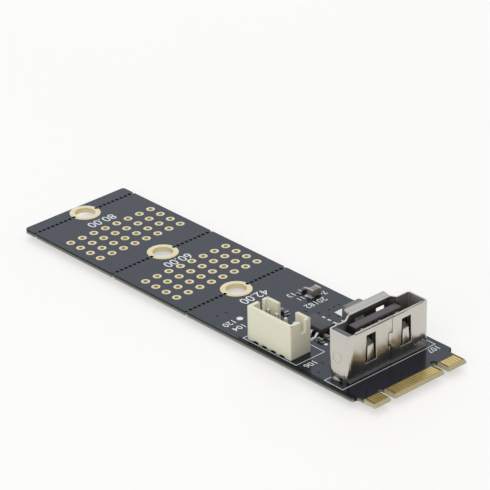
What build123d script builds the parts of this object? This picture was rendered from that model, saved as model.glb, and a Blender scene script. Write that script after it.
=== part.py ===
"""Adapter card with a powered drive socket.

A 22 mm wide edge-connector card that snaps to three lengths. Near its gold fingers it carries
an upright shielded socket, a four-pin power header and the few small parts of its supply.

Frame: X across the card, Y from the finger edge towards the far end, Z up. The origin is under
the middle of the card, on the plane that the longest solder tails stand on. Millimetres.
"""
import os

from build123d import *

os.makedirs("parts", exist_ok=True)

# Card: outline of the laminate and of the tongue that plugs in
board_width = 22.0
board_thickness = 0.8
board_corner_radius = 0.5
end_margin = 2.7
tongue_width = 19.85
tongue_length = 4.0
tongue_root_radius = 0.5
bevel_length = 0.45
bevel_height = 0.22

# Card-edge contacts: pitch and pad size, and the pins that each key notch takes away
finger_pitch = 0.5
finger_width = 0.35
finger_front = 0.47
finger_back = 2.4
finger_thickness = 0.035
finger_count = 75
key_notch_width = 1.2
key_notch_length = 3.5
right_key_pins = range(12, 20)
left_key_pins = range(59, 67)

# Snap-off lengths, measured from the finger edge to the middle of each ring
short_length = 42.0
middle_length = 60.0
long_length = 80.0
ring_hole_diameter = 3.5
ring_diameter = 5.3
ring_wall = 0.05
ring_sides = 20
land_height = 0.035

# Perforated snap line: small holes from the ring's land outwards, and a nick in each card edge
perforation_diameter = 0.62
perforation_sides = 4
perforation_pitch = 0.94
perforation_start = 2.47
perforation_margin = 0.7
edge_nick_radius = 0.3

# Grids of plated holes between the rings: as many rows and columns as their margins leave room for
grid_pitch = 2.54
grid_side_margin = 1.9
grid_ring_margin = 5.0
grid_shift = 0.6
land_diameter = 1.5
land_hole_diameter = 0.76
land_sides = 6

# Soldered tails: how far they stand out under the card, and the solder round them
tail_length = 1.0
contact_tail_relief = 0.1
tail_hole_clearance = 0.1
solder_height = 0.45
solder_spread = 0.22
solder_chamfer = 0.2

# Socket shell: a folded sheet, a wide brim with a narrower crown at the back
socket_front = 7.2
sheet = 0.3
shell_width = 17.6
brim_depth = 4.4
crown_depth = 5.4
crown_width = 9.2
crown_offset = 1.0
left_jog = 1.7
right_jog = 0.5
fold_radius = 0.65
jog_radius = 0.42
shell_height = 8.25
relief_height = 0.6
relief_front = 1.2
corner_relief_height = 2.1
corner_relief_depth = 0.62
leg_width = 1.3
leg_distance = 2.6

# Spring blades stamped out of the front and back walls
spring_sill = 2.35
spring_head = 7.2
spring_root_width = 2.35
spring_head_width = 1.92
blade_lean = 0.12
blade_root_width = 1.55
blade_tip_width = 1.1
blade_bend = 0.25
hook_height = 0.65
front_hook_reach = 0.9
back_hook_reach = 0.5
front_blade_tip = 5.75
back_blade_tip = 6.1
front_spring_spacing = 7.7
back_spring_spacing = 4.6

# Flared lips along the shell's rim
front_lip_length = 14.6
front_lip_reach = 0.35
front_lip_rise = 0.4
front_lip_bend = 0.3
back_lip_length = 8.7
back_lip_reach = 1.25
back_lip_rise = 0.28
back_lip_bend = 0.5
lip_root = 0.8

# Seam where the folded sheet meets, locked by a dovetail
seam_gap = 0.1
seam_offset = 0.8
seam_lock_side = -0.05
seam_lock_top = 5.6
seam_lock_bottom = 3.5
seam_lock_flare = 0.2
seam_foot_offset = 0.4

# Socket insulator: base, tongue and the key at the left end
moulding_clearance = 0.05
base_height = 1.9
insert_offset = 0.35
insert_length = 10.0
insert_thickness = 2.0
insert_front = 2.4
insert_height = 7.4
insert_chamfer = 0.3
end_key_width = 1.05
end_key_drop = 0.12

# Socket contacts: seven on the front of the tongue, four on its back
signal_count = 7
signal_pitch = 1.27
signal_width = 0.6
signal_tip = 6.4
ground_tip = 6.95
contact_thickness = 0.25
contact_proud = 0.06
power_outer_spacing = 7.0
power_inner_spacing = 2.0
power_width = 1.0
power_tip = 6.2
tail_width = 0.42

# Power header: moulding and pins
header_length = 9.9
header_depth = 4.5
header_height = 6.0
header_distance = 23.7
header_side_gap = 1.0
header_floor = 1.7
header_back_wall = 0.7
header_front_wall = 0.6
header_end_wall = 0.65
header_edge_radius = 0.25
window_width = 3.95
window_sill = 2.4
end_slot_width = 1.0
end_slot_depth = 2.1
foot_gap_width = 1.15
foot_gap_height = 0.3
pin_count = 4
pin_pitch = 2.0
pin_size = 0.5
pin_tip = 5.15
pin_chamfer = 0.15
pin_row_inset = 1.7

# Controller chip with gull-wing leads on its two long sides
chip_width = 3.1
chip_length = 4.9
chip_height = 1.3
chip_standoff = 0.1
chip_draft_angle = 8.0
chip_belt_height = 0.55
chip_belt = 0.22
chip_offset = 0.3
chip_distance = 23.3
leads_per_side = 4
lead_pitch = 1.27
lead_width = 0.42
lead_thickness = 0.18
lead_reach = 1.55
lead_shoulder = 0.35
lead_foot = 0.75

# Power inductor behind the socket
inductor_size = 4.0
inductor_height = 2.5
inductor_offset = 7.0
inductor_distance = 20.8
inductor_corner = 0.45
inductor_top_edge = 0.15
inductor_terminal_height = 0.15
inductor_terminal_width = 1.0
inductor_terminal_length = 3.0

# Chip components: length, width and height of each size, and the length of an end cap
power_capacitor_size = (2.0, 1.25, 1.25)
power_capacitor_cap = 0.45
resistor_size = (1.6, 0.8, 0.45)
resistor_cap = 0.3
small_capacitor_size = (1.0, 0.5, 0.5)
small_capacitor_cap = 0.22
cap_skin = 0.03

# Where the chip components sit: offset from the centre line and distance from the finger edge
power_capacitor_offset = 7.7
power_capacitor_distance = 31.8
side_resistor_offset = 7.1
side_resistor_distance = 33.8
header_resistor_offset = 0.05
header_resistor_distance = 30.8
small_capacitor_distance = 20.1
left_small_capacitor_offset = -2.2
right_small_capacitor_offset = -0.76

# Derived sizes and levels
board_length = long_length + end_margin
finger_edge = -board_length / 2
board_bottom = tail_length
board_top = tail_length + board_thickness
middle_pin = (finger_count + 1) / 2
ring_lengths = {"42": short_length, "60": middle_length, "80": long_length}
grid_spans = {"far": (middle_length, long_length), "near": (short_length, middle_length)}
grid_columns = int((board_width - 2 * grid_side_margin) / grid_pitch) + 1
perforation_room = board_width / 2 - perforation_margin - perforation_start
perforations_per_side = int(perforation_room / perforation_pitch) + 1
shell_front = finger_edge + socket_front
brim_back = shell_front + brim_depth
crown_back = shell_front + crown_depth
crown_left = crown_offset - crown_width / 2
crown_right = crown_offset + crown_width / 2
rim = board_top + shell_height
insert_face = shell_front + insert_front
insert_back = insert_face + insert_thickness
header_left = header_side_gap - board_width / 2
header_middle = header_left + header_depth / 2
pin_row = header_left + header_depth - pin_row_inset


def along(distance):
    """Y of a place given by its distance from the finger edge."""
    return finger_edge + distance


def level(height):
    """Z of a place given by its height over the card's top face."""
    return board_top + height


def finish(part, name):
    """Label a finished piece and write it to its own file."""
    part.label = name
    export_step(part, f"parts/{name}.step")


def pin_offset(pin):
    """X of a card-edge pin; odd pins are on top, even ones underneath, pin 1 at the right."""
    return (middle_pin - pin) * finger_pitch / 2


def finger_places(first_pin):
    """Middles of the pads on one face, without the pins that the key notches take away."""
    taken = [*right_key_pins, *left_key_pins]
    pins = [pin for pin in range(first_pin, finger_count + 1, 2) if pin not in taken]
    return [(pin_offset(pin), along((finger_front + finger_back) / 2)) for pin in pins]


def key_offset(pins):
    """X of a key notch, in the middle of the pins that it takes away."""
    return pin_offset((pins[0] + pins[-1]) / 2)


def grid_places(span):
    """Middles of the plated holes of the grid between two ring lengths."""
    low, high = span
    rows = int((high - low - 2 * grid_ring_margin) / grid_pitch) + 1
    first_row = (low + high) / 2 - grid_shift - (rows - 1) / 2 * grid_pitch
    first_column = -(grid_columns - 1) / 2 * grid_pitch
    return [
        (first_column + column * grid_pitch, along(first_row + row * grid_pitch))
        for row in range(rows)
        for column in range(grid_columns)
    ]


def perforation_places(length):
    """Middles of the small holes on one snap line."""
    steps = [perforation_start + index * perforation_pitch for index in range(perforations_per_side)]
    return [(side * step, along(length)) for side in (-1, 1) for step in steps]


def bent_strip(points, bend, thickness):
    """Section of a strip of even thickness that is bent along the points."""
    with BuildLine() as path:
        FilletPolyline(*points, radius=bend)
    trace(path.line, line_width=thickness)


def socket_outline(inset):
    """Outline of the folded socket: a wide brim and a narrower crown, drawn in by the inset."""
    with BuildSketch(mode=Mode.PRIVATE) as outline:
        with BuildLine():
            Polyline(
                (-shell_width / 2, shell_front),
                (shell_width / 2, shell_front),
                (shell_width / 2, brim_back),
                (crown_right + right_jog, brim_back),
                (crown_right, crown_back),
                (crown_left, crown_back),
                (crown_left - left_jog, brim_back),
                (-shell_width / 2, brim_back),
                close=True,
            )
        make_face()
        corners = outline.vertices().sort_by(Axis.X)
        fillet(corners[:2] + corners[-2:], fold_radius)
        fillet(corners[2:-2], jog_radius)
        if inset:
            offset(amount=-inset, mode=Mode.REPLACE)
    return outline.sketch


# Places of the soldered tails, shared by the contacts, the card's holes and the solder
signal_row = insert_face - contact_proud + contact_thickness / 2
power_row = insert_back + contact_proud - contact_thickness / 2
signal_places = [
    (insert_offset + (index - (signal_count - 1) / 2) * signal_pitch, signal_row)
    for index in range(signal_count)
]
power_places = [
    (insert_offset + side * spacing / 2, power_row)
    for spacing in (power_outer_spacing, power_inner_spacing)
    for side in (-1, 1)
]
leg_places = [(side * (shell_width - sheet) / 2, shell_front + leg_distance) for side in (-1, 1)]
header_places = [
    (pin_row, along(header_distance) + (index - (pin_count - 1) / 2) * pin_pitch)
    for index in range(pin_count)
]


# Circuit board: laminate with its tongue, key notches, snap lines and drilled holes
with BuildPart() as circuit_board:
    with BuildSketch(Plane.XY.offset(board_bottom)) as outline:
        with Locations((0, along((tongue_length + board_length) / 2))):
            Rectangle(board_width, board_length - tongue_length)
        fillet(outline.vertices(), board_corner_radius)
        with Locations((0, along(tongue_length))):
            Rectangle(tongue_width, 2 * tongue_length)
        roots = outline.vertices().filter_by_position(Axis.Y, along(tongue_length), along(tongue_length))
        fillet(roots.sort_by(Axis.X)[1:-1], tongue_root_radius)
        for pins in (right_key_pins, left_key_pins):
            with Locations((key_offset(pins), along((key_notch_length - key_notch_width) / 2))):
                SlotOverall(key_notch_length + key_notch_width, key_notch_width, rotation=90, mode=Mode.SUBTRACT)
        for length in ring_lengths.values():
            with Locations((0, along(length))):
                RegularPolygon(ring_hole_diameter / 2 + ring_wall, ring_sides, mode=Mode.SUBTRACT)
            with Locations((-board_width / 2, along(length)), (board_width / 2, along(length))):
                Circle(edge_nick_radius, mode=Mode.SUBTRACT)
            with Locations(*perforation_places(length)):
                RegularPolygon(perforation_diameter / 2, perforation_sides, mode=Mode.SUBTRACT)
        for span in grid_spans.values():
            with Locations(*grid_places(span)):
                RegularPolygon(land_diameter / 2, land_sides, mode=Mode.SUBTRACT)
        with Locations(*signal_places, *power_places):
            Rectangle(
                tail_width + tail_hole_clearance, contact_thickness + tail_hole_clearance, mode=Mode.SUBTRACT
            )
        with Locations(*leg_places):
            Rectangle(sheet + tail_hole_clearance, leg_width + tail_hole_clearance, mode=Mode.SUBTRACT)
        with Locations(*header_places):
            Rectangle(pin_size + tail_hole_clearance, pin_size + tail_hole_clearance, mode=Mode.SUBTRACT)
    extrude(amount=board_thickness)
    with BuildSketch(Plane.YZ):
        for face, inwards in ((board_top, -1), (board_bottom, 1)):
            with BuildLine():
                Polyline(
                    (finger_edge, face),
                    (along(bevel_length), face),
                    (finger_edge, face + inwards * bevel_height),
                    close=True,
                )
            make_face()
    extrude(amount=board_width / 2, both=True, mode=Mode.SUBTRACT)
finish(circuit_board.part, "circuit_board")


# Card-edge contacts: bare gold pads on both faces of the tongue
with BuildPart() as edge_contacts_top:
    with BuildSketch(Plane.XY.offset(board_top)):
        with Locations(*finger_places(first_pin=1)):
            Rectangle(finger_width, finger_back - finger_front)
    extrude(amount=finger_thickness)
finish(edge_contacts_top.part, "edge_contacts_top")

with BuildPart() as edge_contacts_bottom:
    with BuildSketch(Plane.XY.offset(board_bottom)):
        with Locations(*finger_places(first_pin=2)):
            Rectangle(finger_width, finger_back - finger_front)
    extrude(amount=-finger_thickness)
finish(edge_contacts_bottom.part, "edge_contacts_bottom")


# Plated rings that take the holding screw at each length: a thin sleeve with a land on each face
for name, length in ring_lengths.items():
    with BuildPart() as mounting_ring:
        for face, height in ((board_top, land_height), (board_bottom, -land_height)):
            with BuildSketch(Plane.XY.offset(face)):
                with Locations((0, along(length))):
                    RegularPolygon(ring_diameter / 2, ring_sides)
                with Locations(*perforation_places(length)):
                    RegularPolygon(perforation_diameter / 2, perforation_sides, mode=Mode.SUBTRACT)
            extrude(amount=height)
        with BuildSketch(Plane.XY.offset(board_bottom)):
            with Locations((0, along(length))):
                RegularPolygon(ring_hole_diameter / 2 + ring_wall, ring_sides)
        extrude(amount=board_thickness)
        with BuildSketch(Plane.XY.offset(board_bottom - land_height)):
            with Locations((0, along(length))):
                Circle(ring_hole_diameter / 2)
        extrude(amount=board_thickness + 2 * land_height, mode=Mode.SUBTRACT)
    finish(mounting_ring.part, f"mounting_ring_{name}")


# Plated holes of the two grids, standing a little over both faces as their lands do
for name, span in grid_spans.items():
    with BuildPart() as plated_holes:
        with BuildSketch(Plane.XY.offset(board_bottom - land_height)):
            with Locations(*grid_places(span)):
                RegularPolygon(land_diameter / 2, land_sides)
                RegularPolygon(land_hole_diameter / 2, land_sides, mode=Mode.SUBTRACT)
        extrude(amount=board_thickness + 2 * land_height)
    finish(plated_holes.part, f"plated_holes_{name}")


# Socket shell: one nickel-plated sheet folded round the moulding
with BuildPart() as socket_shell:
    with BuildSketch(Plane.XY.offset(board_top)):
        add(socket_outline(0))
        add(socket_outline(sheet), mode=Mode.SUBTRACT)
    extrude(amount=shell_height)

    # The ends and the back stand clear of the card, with a relief at the back folds
    with BuildSketch(Plane.XY.offset(board_top)):
        with Locations((0, shell_front + relief_front)):
            Rectangle(shell_width, crown_depth, align=(Align.CENTER, Align.MIN))
    extrude(amount=relief_height, mode=Mode.SUBTRACT)
    for side in (-1, 1):
        with BuildSketch(Plane.YZ.offset(side * shell_width / 2)):
            with BuildLine():
                Polyline(
                    (brim_back - corner_relief_depth, level(relief_height)),
                    (brim_back, level(corner_relief_height)),
                    (brim_back, level(relief_height)),
                    close=True,
                )
            make_face()
        extrude(amount=-side * fold_radius, mode=Mode.SUBTRACT)

    # Solder legs that pass through the card
    with BuildSketch(Plane.XY):
        with Locations(*leg_places):
            Rectangle(sheet, leg_width)
    extrude(amount=level(relief_height))

    # Spring windows, each with a blade that leans inwards and ends in a hook
    for spacing, face, inwards, hook_reach, blade_tip in (
        (front_spring_spacing, shell_front, 1, front_hook_reach, front_blade_tip),
        (back_spring_spacing, crown_back, -1, back_hook_reach, back_blade_tip),
    ):
        middle = 0 if inwards > 0 else crown_offset
        centre_plane = face + inwards * sheet / 2
        for spring in (middle - spacing / 2, middle + spacing / 2):
            with BuildSketch(Plane.XZ.offset(-face)):
                with BuildLine():
                    Polyline(
                        (spring - spring_root_width / 2, level(spring_sill)),
                        (spring + spring_root_width / 2, level(spring_sill)),
                        (spring + spring_head_width / 2, level(spring_head)),
                        (spring - spring_head_width / 2, level(spring_head)),
                        close=True,
                    )
                make_face()
            extrude(amount=-inwards * sheet, mode=Mode.SUBTRACT)
            with BuildSketch(Plane.YZ.offset(spring)):
                bent_strip(
                    (
                        (centre_plane, level(spring_sill)),
                        (centre_plane + inwards * blade_lean, level(blade_tip - hook_height)),
                        (centre_plane + inwards * hook_reach, level(blade_tip)),
                    ),
                    blade_bend,
                    sheet,
                )
            extrude(amount=blade_root_width / 2, both=True)
            with BuildSketch(Plane.XZ.offset(-face)):
                for side in (-1, 1):
                    with BuildLine():
                        Polyline(
                            (spring + side * blade_root_width / 2, level(spring_sill)),
                            (spring + side * blade_root_width / 2, level(spring_head)),
                            (spring + side * blade_tip_width / 2, level(spring_head)),
                            close=True,
                        )
                    make_face()
            extrude(amount=-inwards * (hook_reach + sheet), mode=Mode.SUBTRACT)

    # Flared lips on the rim, one along the front and one along the crown
    for middle, length, face, outwards, reach, rise, bend in (
        (0, front_lip_length, shell_front, -1, front_lip_reach, front_lip_rise, front_lip_bend),
        (crown_offset, back_lip_length, crown_back, 1, back_lip_reach, back_lip_rise, back_lip_bend),
    ):
        centre_plane = face - outwards * sheet / 2
        with BuildSketch(Plane.YZ.offset(middle)):
            bent_strip(
                (
                    (centre_plane, rim - lip_root),
                    (centre_plane, rim),
                    (centre_plane + outwards * reach, rim + rise),
                ),
                bend,
                sheet,
            )
        extrude(amount=length / 2, both=True)

    # Seam in the front wall, from the lip down to the card, with its dovetail
    with BuildSketch(Plane.XZ.offset(-shell_front - sheet)):
        with BuildLine():
            Polyline(
                (seam_offset, rim + shell_height),
                (seam_offset, level(seam_lock_top)),
                (seam_lock_side, level(seam_lock_top + seam_lock_flare)),
                (seam_lock_side, level(seam_lock_bottom - seam_lock_flare)),
                (seam_foot_offset, level(seam_lock_bottom)),
                (seam_foot_offset, board_top),
            )
        trace(line_width=seam_gap)
    extrude(amount=socket_front / 2, mode=Mode.SUBTRACT)
finish(socket_shell.part, "socket_shell")


# Socket insulator: one black moulding that fills the shell's foot and carries the tongue
with BuildPart() as socket_insulator:
    with BuildSketch(Plane.XY.offset(board_top)):
        add(socket_outline(sheet + moulding_clearance))
    extrude(amount=base_height)
    with BuildSketch(Plane.XY.offset(level(base_height))):
        with Locations((insert_offset, insert_face)):
            Rectangle(insert_length, insert_thickness, align=(Align.CENTER, Align.MIN))
    extrude(amount=insert_height - base_height)
    top = socket_insulator.faces().sort_by(Axis.Z)[-1]
    chamfer(top.edges().filter_by(Axis.X), insert_chamfer)
    with BuildSketch(Plane.XY.offset(level(base_height))):
        add(socket_outline(sheet + moulding_clearance))
        with Locations((-shell_width / 2 + sheet + moulding_clearance, shell_front)):
            Rectangle(end_key_width, crown_depth, align=Align.MIN, mode=Mode.INTERSECT)
    extrude(amount=shell_height - end_key_drop - base_height)

    # Grooves that hold the contacts against the tongue and lead them through the base
    with BuildSketch(Plane.XY.offset(board_top)):
        with Locations(*signal_places):
            Rectangle(signal_width, contact_thickness)
        with Locations(*power_places):
            Rectangle(power_width, contact_thickness)
    extrude(amount=insert_height, mode=Mode.SUBTRACT)
finish(socket_insulator.part, "socket_insulator")


# Socket contacts: flat blades in the grooves, each with a narrow tail through the card
with BuildPart() as socket_signal_contacts:
    for index, place in enumerate(signal_places):
        is_ground = index % ((signal_count - 1) // 2) == 0
        with BuildSketch(Plane.XY.offset(board_top)):
            with Locations(place):
                Rectangle(signal_width, contact_thickness)
        extrude(amount=ground_tip if is_ground else signal_tip)
    with BuildSketch(Plane.XY.offset(contact_tail_relief)):
        with Locations(*signal_places):
            Rectangle(tail_width, contact_thickness)
    extrude(amount=board_top - contact_tail_relief)
finish(socket_signal_contacts.part, "socket_signal_contacts")

with BuildPart() as socket_power_contacts:
    with BuildSketch(Plane.XY.offset(board_top)):
        with Locations(*power_places):
            Rectangle(power_width, contact_thickness)
    extrude(amount=power_tip)
    with BuildSketch(Plane.XY.offset(contact_tail_relief)):
        with Locations(*power_places):
            Rectangle(tail_width, contact_thickness)
    extrude(amount=board_top - contact_tail_relief)
finish(socket_power_contacts.part, "socket_power_contacts")


# Solder under the card: a foot on the land round each tail, narrower at its end
contact_tails = [(place, tail_width, contact_thickness) for place in signal_places + power_places]
leg_tails = [(place, sheet, leg_width) for place in leg_places]
header_tails = [(place, pin_size, pin_size) for place in header_places]
for name, tails in (("socket_solder", contact_tails + leg_tails), ("header_solder", header_tails)):
    with BuildPart() as solder:
        for place, length, width in tails:
            with BuildSketch(Plane.XY.offset(board_bottom)):
                with Locations(place):
                    Rectangle(length + 2 * solder_spread, width + 2 * solder_spread)
            extrude(amount=-solder_height)
        undersides = solder.faces().filter_by(Axis.Z).group_by(Axis.Z)[0]
        chamfer(undersides.edges(), solder_chamfer)
        for place, length, width in tails:
            with BuildSketch(Plane.XY.offset(board_bottom)):
                with Locations(place):
                    Rectangle(length, width)
            extrude(amount=-solder_height, mode=Mode.SUBTRACT)
    finish(solder.part, name)


# Power header: ivory box, open at the top, with end slots, a side window and gaps between its feet
with BuildPart() as header_housing:
    with BuildSketch(Plane.XY.offset(board_top)):
        with Locations((header_middle, along(header_distance))):
            RectangleRounded(header_depth, header_length, header_edge_radius)
    extrude(amount=header_height)
    with BuildSketch(Plane.XY.offset(level(header_floor))):
        with Locations((header_left + header_back_wall, along(header_distance))):
            Rectangle(
                header_depth - header_back_wall - header_front_wall,
                header_length - 2 * header_end_wall,
                align=(Align.MIN, Align.CENTER),
            )
    extrude(amount=header_height, mode=Mode.SUBTRACT)
    with BuildSketch(Plane.XY.offset(level(window_sill))):
        with Locations((header_left + header_depth, along(header_distance))):
            Rectangle(2 * header_front_wall, window_width)
    extrude(amount=header_height, mode=Mode.SUBTRACT)
    with BuildSketch(Plane.XY.offset(level(header_height - end_slot_depth))):
        with Locations((pin_row, along(header_distance))):
            Rectangle(end_slot_width, header_length)
    extrude(amount=end_slot_depth, mode=Mode.SUBTRACT)
    with BuildSketch(Plane.XY.offset(board_top)):
        with Locations(*header_places):
            Rectangle(pin_size, pin_size)
    extrude(amount=header_floor, mode=Mode.SUBTRACT)
    with BuildSketch(Plane.XY.offset(board_top)):
        with Locations(*[(header_middle, place[1]) for place in header_places]):
            Rectangle(header_depth, foot_gap_width)
    extrude(amount=foot_gap_height, mode=Mode.SUBTRACT)
finish(header_housing.part, "header_housing")

with BuildPart() as header_pins:
    with BuildSketch(Plane.XY):
        with Locations(*header_places):
            Rectangle(pin_size, pin_size)
    extrude(amount=level(pin_tip))
    tops = header_pins.faces().filter_by(Axis.Z).group_by(Axis.Z)[-1]
    chamfer(tops.edges(), pin_chamfer)
finish(header_pins.part, "header_pins")


# Controller chip: drafted body with a belt where its two halves and the leads meet
belt_bottom = level(chip_belt_height)
belt_top = belt_bottom + chip_belt
chip_place = (chip_offset, along(chip_distance))
with BuildPart() as chip_body:
    with BuildSketch(Plane.XY.offset(belt_bottom)):
        with Locations(chip_place):
            Rectangle(chip_width, chip_length)
    extrude(amount=chip_belt)
    with BuildSketch(Plane.XY.offset(belt_top)):
        with Locations(chip_place):
            Rectangle(chip_width, chip_length)
    extrude(amount=level(chip_height) - belt_top, taper=chip_draft_angle)
    with BuildSketch(Plane.XY.offset(belt_bottom)):
        with Locations(chip_place):
            Rectangle(chip_width, chip_length)
    extrude(amount=level(chip_standoff) - belt_bottom, taper=chip_draft_angle)
finish(chip_body.part, "chip_body")

lead_middle = belt_bottom + chip_belt / 2
with BuildPart() as chip_leads:
    for side in (-1, 1):
        root = chip_offset + side * chip_width / 2
        knee = root + side * lead_shoulder
        toe = root + side * lead_reach
        for index in range(leads_per_side):
            row = along(chip_distance) + (index - (leads_per_side - 1) / 2) * lead_pitch
            with BuildSketch(Plane.XZ.offset(-row)):
                bent_strip(
                    (
                        (root, lead_middle),
                        (knee, lead_middle),
                        (toe - side * lead_foot, level(lead_thickness / 2)),
                        (toe, level(lead_thickness / 2)),
                    ),
                    0,
                    lead_thickness,
                )
            extrude(amount=lead_width / 2, both=True)
finish(chip_leads.part, "chip_leads")


# Power inductor: moulded block with rounded upright edges, on two flat terminals
inductor_place = (inductor_offset, along(inductor_distance))
with BuildPart() as inductor_core:
    with BuildSketch(Plane.XY.offset(level(inductor_terminal_height))):
        with Locations(inductor_place):
            RectangleRounded(inductor_size, inductor_size, inductor_corner)
    extrude(amount=inductor_height - inductor_terminal_height)
    top = inductor_core.faces().sort_by(Axis.Z)[-1]
    chamfer(top.edges(), inductor_top_edge)
finish(inductor_core.part, "inductor_core")

with BuildPart() as inductor_terminals:
    with BuildSketch(Plane.XY.offset(board_top)):
        with Locations(inductor_place):
            with GridLocations(inductor_size - inductor_terminal_width, 0, 2, 1):
                Rectangle(inductor_terminal_width, inductor_terminal_length)
    extrude(amount=inductor_terminal_height)
finish(inductor_terminals.part, "inductor_terminals")


# Chip components: a ceramic body between two end caps that wrap its ends
def component_body(place, size, cap, turned):
    """Body of one chip component, narrower under its caps."""
    length, width, height = size
    with Locations(Location((*place, board_top), (0, 0, 90 if turned else 0))):
        Box(length - 2 * cap, width, height, align=(Align.CENTER, Align.CENTER, Align.MIN))


def component_caps(place, size, cap, turned):
    """Both end caps of one chip component, a little proud of its body."""
    length, width, height = size
    with Locations(Location((*place, board_top), (0, 0, 90 if turned else 0))):
        with GridLocations(length - cap, 0, 2, 1):
            Box(cap, width + 2 * cap_skin, height + cap_skin, align=(Align.CENTER, Align.CENTER, Align.MIN))


power_capacitor_places = [((power_capacitor_offset, along(power_capacitor_distance)), False)]
resistor_places = [
    ((side_resistor_offset, along(side_resistor_distance)), False),
    ((header_resistor_offset, along(header_resistor_distance)), True),
]
small_capacitor_places = [
    ((left_small_capacitor_offset, along(small_capacitor_distance)), True),
    ((right_small_capacitor_offset, along(small_capacitor_distance)), True),
]
for name, places, size, cap in (
    ("power_capacitor", power_capacitor_places, power_capacitor_size, power_capacitor_cap),
    ("resistor", resistor_places, resistor_size, resistor_cap),
    ("small_capacitor", small_capacitor_places, small_capacitor_size, small_capacitor_cap),
):
    with BuildPart() as bodies:
        for place, turned in places:
            component_body(place, size, cap, turned)
    finish(bodies.part, f"{name}_body")
    with BuildPart() as caps:
        for place, turned in places:
            component_caps(place, size, cap, turned)
    finish(caps.part, f"{name}_caps")
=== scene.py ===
import math

import bpy
from mathutils import Euler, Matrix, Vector
from mathutils.bvhtree import BVHTree


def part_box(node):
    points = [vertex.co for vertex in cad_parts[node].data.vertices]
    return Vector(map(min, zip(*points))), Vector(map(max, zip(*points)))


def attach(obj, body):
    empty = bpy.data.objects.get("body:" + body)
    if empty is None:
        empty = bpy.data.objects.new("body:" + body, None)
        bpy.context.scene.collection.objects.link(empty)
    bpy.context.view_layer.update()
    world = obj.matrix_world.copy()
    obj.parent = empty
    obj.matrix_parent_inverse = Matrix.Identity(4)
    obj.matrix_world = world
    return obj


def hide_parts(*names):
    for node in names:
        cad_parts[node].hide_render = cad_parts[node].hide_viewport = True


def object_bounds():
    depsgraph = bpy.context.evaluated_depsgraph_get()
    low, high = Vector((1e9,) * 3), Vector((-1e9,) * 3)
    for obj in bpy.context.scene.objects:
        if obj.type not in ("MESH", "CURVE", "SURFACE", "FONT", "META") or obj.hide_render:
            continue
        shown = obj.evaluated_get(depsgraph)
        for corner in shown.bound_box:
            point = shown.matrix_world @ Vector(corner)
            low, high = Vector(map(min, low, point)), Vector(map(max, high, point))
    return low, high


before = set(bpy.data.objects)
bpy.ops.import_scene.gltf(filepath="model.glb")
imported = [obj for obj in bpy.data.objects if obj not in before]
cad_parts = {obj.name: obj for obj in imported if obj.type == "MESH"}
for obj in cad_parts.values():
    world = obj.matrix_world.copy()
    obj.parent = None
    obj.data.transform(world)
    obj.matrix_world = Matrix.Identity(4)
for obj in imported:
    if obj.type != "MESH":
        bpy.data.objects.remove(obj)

cad_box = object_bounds()


# Camera: it stands at the photograph's angle, in front of the gold fingers and to the left of
# the card. Its place and its focal length, in pixels, are fitted to the card's known sizes.
mm = 0.001
board_low, board_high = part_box("circuit_board")
finger_edge = board_low[1]
board_top = board_high[2]
focal_px = 3064.961
photo_px = 490
azimuth = math.radians(42.497)
elevation = math.radians(27.646)
roll = math.radians(-0.832)
distance = 511.677 * mm
target = Vector((11.477 * mm, finger_edge + 52.272 * mm, board_top))
back = Vector((
    -math.sin(azimuth) * math.cos(elevation),
    -math.cos(azimuth) * math.cos(elevation),
    math.sin(elevation),
))
camera_data = bpy.data.cameras.new("camera")
camera_data.sensor_width = 36.0
camera_data.lens = focal_px * camera_data.sensor_width / photo_px
camera_data.clip_start = 0.01
camera = bpy.data.objects.new("camera", camera_data)
bpy.context.scene.collection.objects.link(camera)
camera.location = target + back * distance
turn = back.to_track_quat("Z", "Y").to_matrix() @ Euler((0, 0, roll)).to_matrix()
camera.rotation_euler = turn.to_euler()
bpy.context.scene.camera = camera
bpy.context.scene.view_settings.view_transform = "Standard"


# Studio: a plain pale table under a white sweep. Camera rays see plain white and mirror rays a
# slightly cooler one. The diffuse light is lower and a little warm, so that the soft boxes give the
# faces their shape.
def reckoned(tree, operation, first, second=None):
    """The outcome of a sum on an output, with another output or a number."""
    node = tree.nodes.new("ShaderNodeMath")
    node.operation = operation
    tree.links.new(first, node.inputs[0])
    if isinstance(second, float):
        node.inputs[1].default_value = second
    elif second is not None:
        tree.links.new(second, node.inputs[1])
    return node.outputs[0]


def blended(tree, factor, first, second, kind="RGBA"):
    """The blend of two values by the factor; each value is a colour, a number or an output."""
    node = tree.nodes.new("ShaderNodeMix")
    node.data_type = kind
    tree.links.new(factor, node.inputs["Factor"])
    for value, end in ((first, "A"), (second, "B")):
        if isinstance(value, (tuple, float)):
            node.inputs[end].default_value = value
        else:
            tree.links.new(value, node.inputs[end])
    return node.outputs["Result"]


def ranged(tree, value, start=0.0, end=1.0, low=0.0, high=1.0):
    """Runs from low to high while the value goes from start to end, and holds still outside."""
    node = tree.nodes.new("ShaderNodeMapRange")
    for name, limit in (("From Min", start), ("From Max", end), ("To Min", low), ("To Max", high)):
        node.inputs[name].default_value = limit
    tree.links.new(value, node.inputs["Value"])
    return node.outputs["Result"]


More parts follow.
